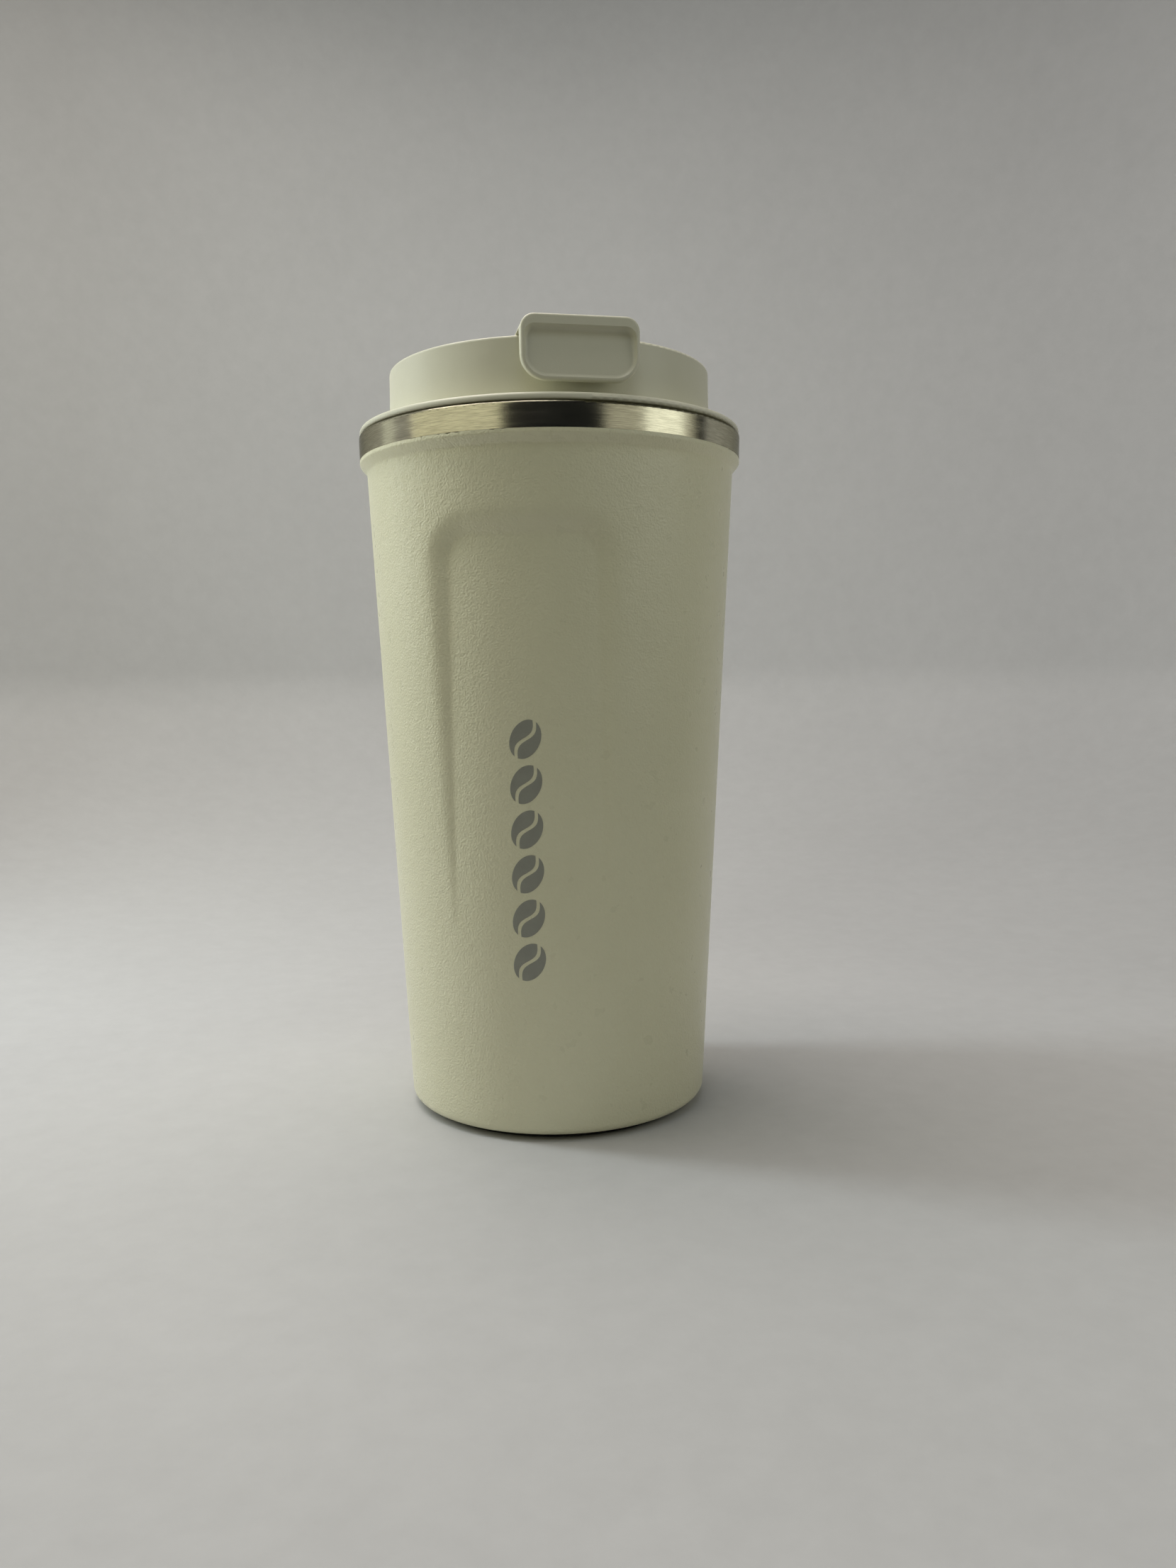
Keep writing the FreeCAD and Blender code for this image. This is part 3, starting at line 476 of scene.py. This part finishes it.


# ---- painted shadow on the collar's outer edge, where the lid's flange meets and shades it, in millimetres ----
SEAM_LOW = 158.3  # it begins at this height
SEAM_HIGH = 158.6  # and is full from here up
SEAM_RADIUS = 45.1
SEAM_SHADOW_STRENGTH = 0.75  # how much of the steel's colour the painted shadow hides
BRUSH_ALONG = 260.0  # streaks per metre round the collar
BRUSH_ACROSS = 5200.0  # and up it


def brushed_steel():
    """Bare steel, brushed round the mug's axis in short strokes, with a painted shadow along its top outer
    edge under the lid.
    """
    s = Shader("steel_brushed_round")
    along = BRUSH_ALONG
    across = BRUSH_ACROSS
    lines = s.noise(1.0, detail=3.0, roughness=0.65, place=s.stretched(along, along, across))
    bands = s.noise(1.0, detail=2.0, place=s.stretched(along / 5, along / 5, across / 5))
    shade = s.compute("MULTIPLY", s.spread(lines, 0.25, 1, 0.35, 0.65), s.spread(bands, 0.75, 1))
    metal = s.mixed(shade, STEEL_DARK, STEEL_BRIGHT)
    height = s.node("ShaderNodeSeparateXYZ", {"Vector": s.place}).outputs[2]
    radius = s.node("ShaderNodeVectorMath", {0: s.stretched(1, 1, 0)}, operation="LENGTH").outputs["Value"]
    # painted shadow: the collar's outer edge turns dark near its top, where the lid's flange shades it
    at_edge = s.compute("GREATER_THAN", radius, SEAM_RADIUS * MM)
    seam_shadow = s.compute("MULTIPLY", s.spread(height, 0, SEAM_SHADOW_STRENGTH, SEAM_LOW * MM, SEAM_HIGH * MM), at_edge)
    s.link(s.mixed(seam_shadow, metal, SEAM_SHADOW_COLOUR), "Base Color")
    s.link(s.spread(bands, 0.20, 0.27), "Roughness")
    s.link(s.bump(lines, 0.016), "Normal")
    tangent = s.node("ShaderNodeTangent", direction_type="RADIAL", axis="Z")
    s.link(tangent.outputs[0], "Tangent")
    s.set(Metallic=1.0, Anisotropic=0.8, Anisotropic_Rotation=0.25, Specular_Tint=STEEL_EDGE)
    return s.material


def satin_steel():
    """Electropolished steel inside the cup and under its base, with faint marks from drawing."""
    s = Shader("steel_satin_drawn")
    marks = s.noise(1.0, detail=3.0, place=s.stretched(700, 700, 60))
    s.link(s.mottled(marks, DRAWN_STEEL_DARK, DRAWN_STEEL_BRIGHT), "Base Color")
    s.link(s.spread(s.noise(400.0), 0.34, 0.46), "Roughness")
    s.link(s.bump(marks, 0.01), "Normal")
    s.set(Metallic=1.0)
    return s.material


def moulded_plastic(name, colour, shade, roughness):
    """Fine satin moulded plastic with a few faint marks."""
    s = Shader(name)
    patches = s.mottled(s.noise(55.0, detail=3.0), colour, shade)
    marks = s.specks(70.0, 0.012, 0.10)
    s.link(s.mixed(marks, patches, MARK_BROWN), "Base Color")
    s.link(s.spread(s.noise(500.0, detail=2.0), roughness - 0.04, roughness + 0.05), "Roughness")
    grain = s.noise(3600.0, detail=2.0)
    waves = s.noise(300.0, detail=1.0)
    s.link(s.bump(grain, 0.02, s.bump(waves, 0.04)), "Normal")
    return s.material


def rubber():
    s = Shader("rubber_dark")
    s.link(s.mottled(s.noise(400.0), RUBBER_BLACK, RUBBER_WORN), "Base Color")
    s.link(s.spread(s.noise(900.0), 0.62, 0.80), "Roughness")
    s.link(s.bump(s.noise(2500.0), 0.03), "Normal")
    return s.material


def silicone():
    """Milky, slightly see-through silicone."""
    s = Shader("silicone_milky")
    s.link(s.mottled(s.noise(90.0), SILICONE_MILK, SILICONE_PALE), "Base Color")
    s.link(s.spread(s.noise(700.0), 0.30, 0.42), "Roughness")
    s.link(s.bump(s.noise(1800.0), 0.01), "Normal")
    s.set(Subsurface_Weight=0.35, Subsurface_Radius=(0.004, 0.004, 0.003), Subsurface_Scale=0.5)
    return s.material


def copper_foil():
    s = Shader("copper_foil_crinkled")
    s.link(s.mottled(s.noise(120.0), COPPER_DARK, COPPER_BRIGHT), "Base Color")
    s.link(s.spread(s.noise(260.0), 0.22, 0.38), "Roughness")
    s.link(s.bump(s.noise(180.0, detail=4.0, distortion=1.5), 0.5), "Normal")
    s.set(Metallic=1.0)
    return s.material


def sintered_metal():
    s = Shader("getter_sintered")
    s.link(s.mottled(s.noise(3000.0), GETTER_DARK, GETTER_PALE), "Base Color")
    s.link(s.spread(s.noise(2500.0), 0.6, 0.8), "Roughness")
    s.link(s.bump(s.noise(3500.0), 0.08), "Normal")
    s.set(Metallic=0.7)
    return s.material


def sealing_glass():
    s = Shader("sealing_glass_fused")
    s.link(s.mottled(s.noise(500.0), GLASS_DARK, GLASS_PALE), "Base Color")
    s.link(s.spread(s.noise(900.0), 0.10, 0.25), "Roughness")
    s.link(s.bump(s.noise(800.0), 0.05), "Normal")
    return s.material


# ---- floor and backdrop, in millimetres ----
STAGE_SEGMENTS = 96
CENTRE_HOLE = 0.01  # a pinhole, which keeps the faces round the middle four-sided
FLOOR_RADIUS = 140.0  # the flat part
CURVE_RUN = 320.0  # past it, the floor curves up over this distance
CURVE_RISE = 110.0  # by this height
CURVE_STEPS = 48
NEAR_STEPS = 9  # the steps of the curve that belong to the floor all round
STAGE_HEIGHT = 900.0
FLOOR_GREY = 0.545  # the paper's own tone, up to GREY_LOW_Z
SHADED_WALL_GREY = 0.35  # and from GREY_HIGH_Z up, darker as painted shade, since less light reaches the backdrop higher up
GREY_LOW_Z = 40.0
GREY_HIGH_Z = 480.0


def stage_piece(name, outline, turns, paper):
    """Part of the floor and backdrop: the open outline turned through the steps of the circle in turns."""
    points = lathe_points(outline, STAGE_SEGMENTS).reshape(-1, 3).tolist()
    faces = []
    for row in range(len(outline) - 1):
        for k in turns:
            right = (k + 1) % STAGE_SEGMENTS
            low = row * STAGE_SEGMENTS
            high = low + STAGE_SEGMENTS
            faces.append((low + k, low + right, high + right, high + k))
    piece = new_object(name, points, faces, smooth_angle=80)
    piece.data.materials.append(paper)
    return piece


def stage_paper():
    """Matt paper, a little uneven in tone, with painted shade that turns it darker up the backdrop."""
    s = Shader("stage_paper")
    height = s.node("ShaderNodeSeparateXYZ", {"Vector": s.place}).outputs[2]
    # painted shade: the paper darkens with height, from the floor's grey to the backdrop's, where less light
    # falls
    shaded_grey = s.spread(height, FLOOR_GREY, SHADED_WALL_GREY, GREY_LOW_Z * MM, GREY_HIGH_Z * MM)
    uneven = s.spread(s.noise(9.0, detail=4.0), 0.98, 1.02)
    fibres = s.spread(s.noise(130.0, detail=5.0, roughness=0.65), 0.975, 1.025)
    s.link(s.compute("MULTIPLY", s.compute("MULTIPLY", shaded_grey, uneven), fibres), "Base Color")
    s.link(s.spread(s.noise(60.0), 0.66, 0.74), "Roughness")
    s.link(s.bump(s.noise(90.0, detail=4.0), 0.3), "Normal")
    return s.material


def make_stage():
    """A pale floor that curves up into a round backdrop. Its far part behind the camera lights nothing."""
    paper = stage_paper()
    outline = [(CENTRE_HOLE, 0.0), (FLOOR_RADIUS, 0.0)]
    for k in range(1, CURVE_STEPS + 1):
        angle = math.pi / 2 * k / CURVE_STEPS
        outline.append((FLOOR_RADIUS + CURVE_RUN * math.sin(angle), CURVE_RISE * (1 - math.cos(angle))))
    outline.append((FLOOR_RADIUS + CURVE_RUN, STAGE_HEIGHT))
    near = outline[: NEAR_STEPS + 2]
    far = outline[NEAR_STEPS + 1 :]
    quarter = STAGE_SEGMENTS // 4
    everywhere = range(STAGE_SEGMENTS)
    behind_mug = range(quarter, 3 * quarter)
    behind_camera = [k for k in everywhere if k not in behind_mug]
    stage_piece("stage_floor", near, everywhere, paper)
    stage_piece("stage_back", far, behind_mug, paper)
    front = stage_piece("stage_front", far, behind_camera, paper)
    front.visible_glossy = False
    front.visible_diffuse = False


# ---- light and camera ----
MUG_MIDDLE_Z = 90.0


def around(azimuth, distance, height):
    """A point in metres, at an azimuth counted from the camera's side, positive to its right."""
    angle = math.radians(azimuth + CAMERA_AZIMUTH)
    return Vector((distance * math.sin(angle), -distance * math.cos(angle), height)) * MM


def soft_light(
    name, azimuth, distance, height, size, power, colour, upright=True, outward=False, mirrored=True
):
    """A rectangular soft light, placed as in around(), with its size in millimetres and its power in watts.

    It faces the mug's axis, or with outward away from it, or the middle of the mug when it isn't upright.
    Shiny surfaces show it unless mirrored is False.
    """
    data = bpy.data.lights.new(name, "AREA")
    data.shape = "RECTANGLE"
    data.size, data.size_y = size[0] * MM, size[1] * MM
    data.energy = power
    data.color = colour
    light = bpy.data.objects.new(name, data)
    light.location = around(azimuth, distance, height)
    aim_height = height if upright else MUG_MIDDLE_Z
    facing = Vector((0, 0, aim_height * MM)) - light.location
    if outward:
        facing.negate()
    light.rotation_euler = facing.to_track_quat("-Z", "Y").to_euler()
    light.visible_camera = False
    light.visible_glossy = mirrored
    bpy.context.scene.collection.objects.link(light)


def make_lights():
    """A key and strips from the left, fills from the right, two lights from above and one on the backdrop."""
    soft_light("key_left", -54, 330, 355, (352, 440), 0.355, (1.0, 0.96, 0.71))
    soft_light("left_back", -102, 330, 460, (68, 740), 1.26, (0.86, 0.955, 1.0), mirrored=False)
    soft_light("fill_right", 59, 330, 265, (366, 300), 0.16, (1.0, 0.97, 0.80))
    soft_light("strip_right", 66, 322, 240, (150, 200), 0.085, (0.97, 1.0, 0.92))
    soft_light("strip_left", -102, 326, 300, (68, 400), 0.027, (0.95, 1.0, 0.86))
    soft_light("top", -120, 130, 600, (400, 400), 2.12, (1.0, 0.93, 0.87), upright=False)
    front_colour = (0.74, 0.85, 1.0)
    soft_light("top_front", 0, 300, 520, (200, 200), 0.20, front_colour, upright=False, mirrored=False)
    soft_light("backdrop", -140, 110, 330, (320, 320), 0.29, (0.95, 1.0, 0.90), outward=True)


def make_world():
    """A trace of even light, so that no shadow is quite black."""
    world = bpy.data.worlds.new("studio")
    world.use_nodes = True
    background = world.node_tree.nodes["Background"]
    background.inputs["Color"].default_value = SKY
    background.inputs["Strength"].default_value = 0.01
    bpy.context.scene.world = world


def make_camera():
    """The photo's viewpoint: its distance, height, heading, pitch and roll."""
    data = bpy.data.cameras.new("camera")
    data.sensor_width = SENSOR_WIDTH
    data.lens = FOCAL_LENGTH
    data.clip_start = 0.01
    camera = bpy.data.objects.new("camera", data)
    heading = math.radians(CAMERA_YAW - CAMERA_AZIMUTH)
    pitch = math.radians(CAMERA_PITCH)
    roll = math.radians(CAMERA_ROLL)
    ahead = Vector(
        (math.sin(heading) * math.cos(pitch), math.cos(heading) * math.cos(pitch), math.sin(pitch))
    )
    level = Vector((math.cos(heading), -math.sin(heading), 0))
    upright = level.cross(ahead)
    right = level * math.cos(roll) + upright * math.sin(roll)
    up = upright * math.cos(roll) - level * math.sin(roll)
    turn = Matrix((right, up, -ahead)).transposed().to_4x4()
    camera.matrix_world = Matrix.Translation(around(0, CAMERA_DISTANCE, CAMERA_HEIGHT)) @ turn
    bpy.context.scene.collection.objects.link(camera)
    bpy.context.scene.camera = camera


def paint(piece, material):
    piece.data.materials.clear()
    piece.data.materials.append(material)


def main():
    shell = make_outer_shell()
    mark = make_mark()
    coat = powder_coat()
    paint(shell, coat)
    paint(mark, print_ink())
    lid_plastic = moulded_plastic("lid_plastic_cream", LID_CREAM, LID_SHADE, 0.40)
    inner_plastic = moulded_plastic("inner_plastic_cream", INNER_CREAM, INNER_SHADE, 0.34)
    steel = satin_steel()
    finishes = {
        "mouth_collar": brushed_steel(),
        "inner_liner": steel,
        "liner_bottom": steel,
        "base_plate": steel,
        "vacuum_base_disc": steel,
        "getter_clip": steel,
        "hinge_pin": steel,
        "outer_shell": coat,
        "copper_foil_wrap": copper_foil(),
        "getter_pellet": sintered_metal(),
        "solder_seal": sealing_glass(),
        "non_slip_foot": rubber(),
        "lid_cover": lid_plastic,
        "flip_cover": lid_plastic,
        "lid_base": inner_plastic,
        "drinking_duct": inner_plastic,
        "flip_inner": inner_plastic,
    }
    soft = silicone()
    for name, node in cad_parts.items():
        paint(node, finishes.get(name, soft))
    make_stage()
    make_lights()
    make_world()
    make_camera()
    bpy.context.scene.view_settings.view_transform = "Standard"


main()
